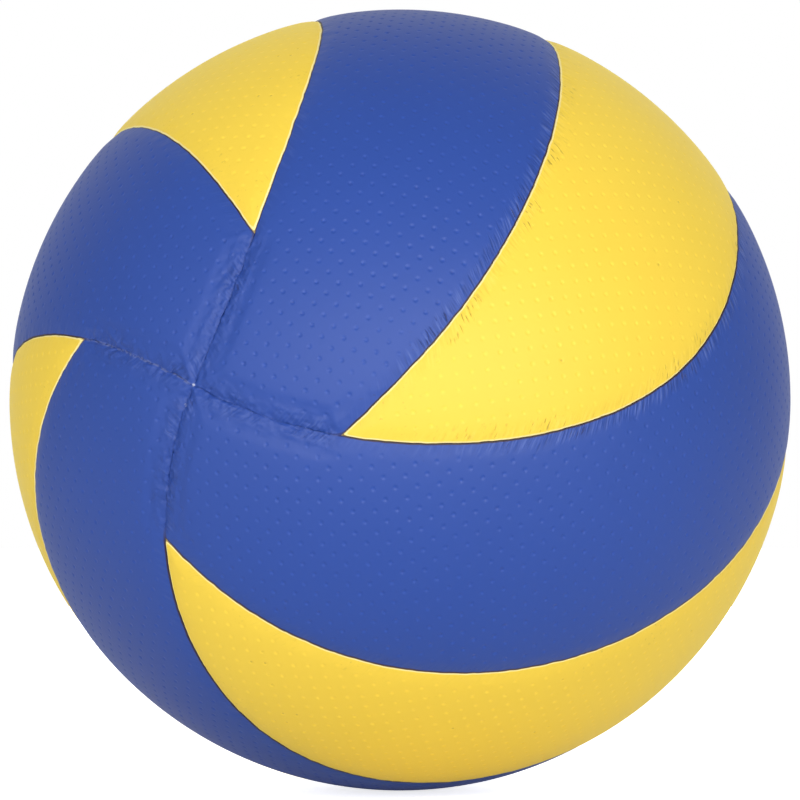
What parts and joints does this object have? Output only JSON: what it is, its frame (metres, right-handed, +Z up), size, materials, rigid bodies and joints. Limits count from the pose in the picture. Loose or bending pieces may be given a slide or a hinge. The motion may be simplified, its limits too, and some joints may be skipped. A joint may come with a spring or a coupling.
{
  "type": "volleyball",
  "caption": "Indoor volleyball with swirled two-colour dimpled cover panels glued in rolled seams over a wound bladder, with a needle valve whose plug pulls out.",
  "frame": {"origin": "the ball's centre", "axes": "-Y towards the pole where the blue panels meet, +Y towards the yellow pole, +Z up, -X out of the valve"},
  "size_m": [0.2099, 0.2098, 0.21],
  "materials": {
    "blue_leather": "satin",
    "yellow_leather": "satin",
    "backing_foam": "matte",
    "carcass_rubber": "matte",
    "winding_thread": "satin",
    "bladder_rubber": "satin",
    "valve_rubber": "matte",
    "plug_rubber": "satin"
  },
  "bodies": {
    "ball": {"blue_panel_1": "blue_leather", "blue_panel_2": "blue_leather", "blue_panel_3": "blue_leather", "blue_panel_4": "blue_leather", "yellow_panel_1": "yellow_leather", "yellow_panel_2": "yellow_leather", "yellow_panel_3": "yellow_leather", "yellow_panel_4": "yellow_leather", "blue_panel_foam_1": "backing_foam", "blue_panel_foam_2": "backing_foam", "blue_panel_foam_3": "backing_foam", "blue_panel_foam_4": "backing_foam", "yellow_panel_foam_1": "backing_foam", "yellow_panel_foam_2": "backing_foam", "yellow_panel_foam_3": "backing_foam", "yellow_panel_foam_4": "backing_foam", "carcass": "carcass_rubber", "thread_winding": "winding_thread", "bladder": "bladder_rubber", "valve_patch": "bladder_rubber", "valve_housing": "valve_rubber"},
    "plug": {"valve_plug": "plug_rubber"}
  },
  "joints": [
    {"name": "plug_slide", "type": "slide", "parent": "ball", "child": "plug", "axis": [-1, 0, 0], "range_m": [0, 0.03]}
  ]
}
